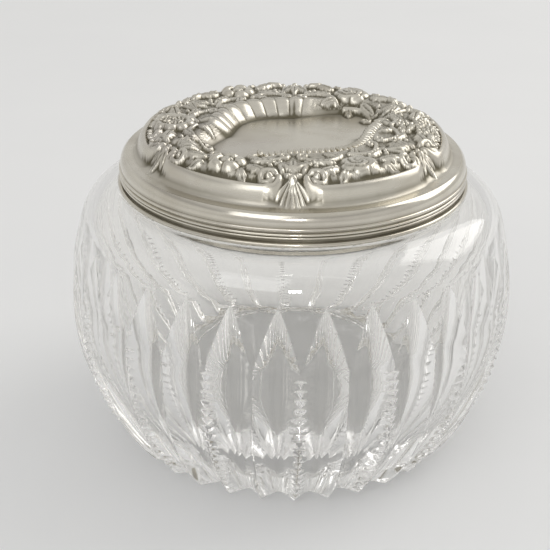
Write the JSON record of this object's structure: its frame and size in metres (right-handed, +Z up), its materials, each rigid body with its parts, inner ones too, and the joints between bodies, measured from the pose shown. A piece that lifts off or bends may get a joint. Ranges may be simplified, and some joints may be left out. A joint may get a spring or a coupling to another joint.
{
  "type": "powder jar",
  "caption": "Fluted cut-glass dressing-table jar with a collared neck and a lift-off domed metal lid chased with shells, scrolls and flowers around a plain panel.",
  "frame": {"origin": "middle of the flat underside of the foot", "axes": "+Z up along the jar's axis; -Y towards the front, where the lower edge of the lid's panel faces"},
  "size_m": [0.1148, 0.1148, 0.0855],
  "materials": {
    "clear_glass": "clear, hand-cut and polished, faintly warm grey in the thick parts",
    "plaster": "off-white set plaster, matt",
    "silver": "polished silver, lightly tarnished in the recesses",
    "chased_silver": "polished die-struck silver with dark toned recesses"
  },
  "bodies": {
    "jar": {"glass_jar": "clear_glass", "plaster_bed": "plaster", "neck_collar": "silver", "collar_foot_wire": "silver", "collar_bezel": "silver"},
    "lid": {"lid_cap": "chased_silver", "lid_rim_wire": "silver", "lid_inner_band": "silver"}
  },
  "joints": [
    {"name": "lid_lift", "type": "slide", "parent": "jar", "child": "lid", "axis": [0, 0, 1], "range_m": [0, 0.06]}
  ]
}
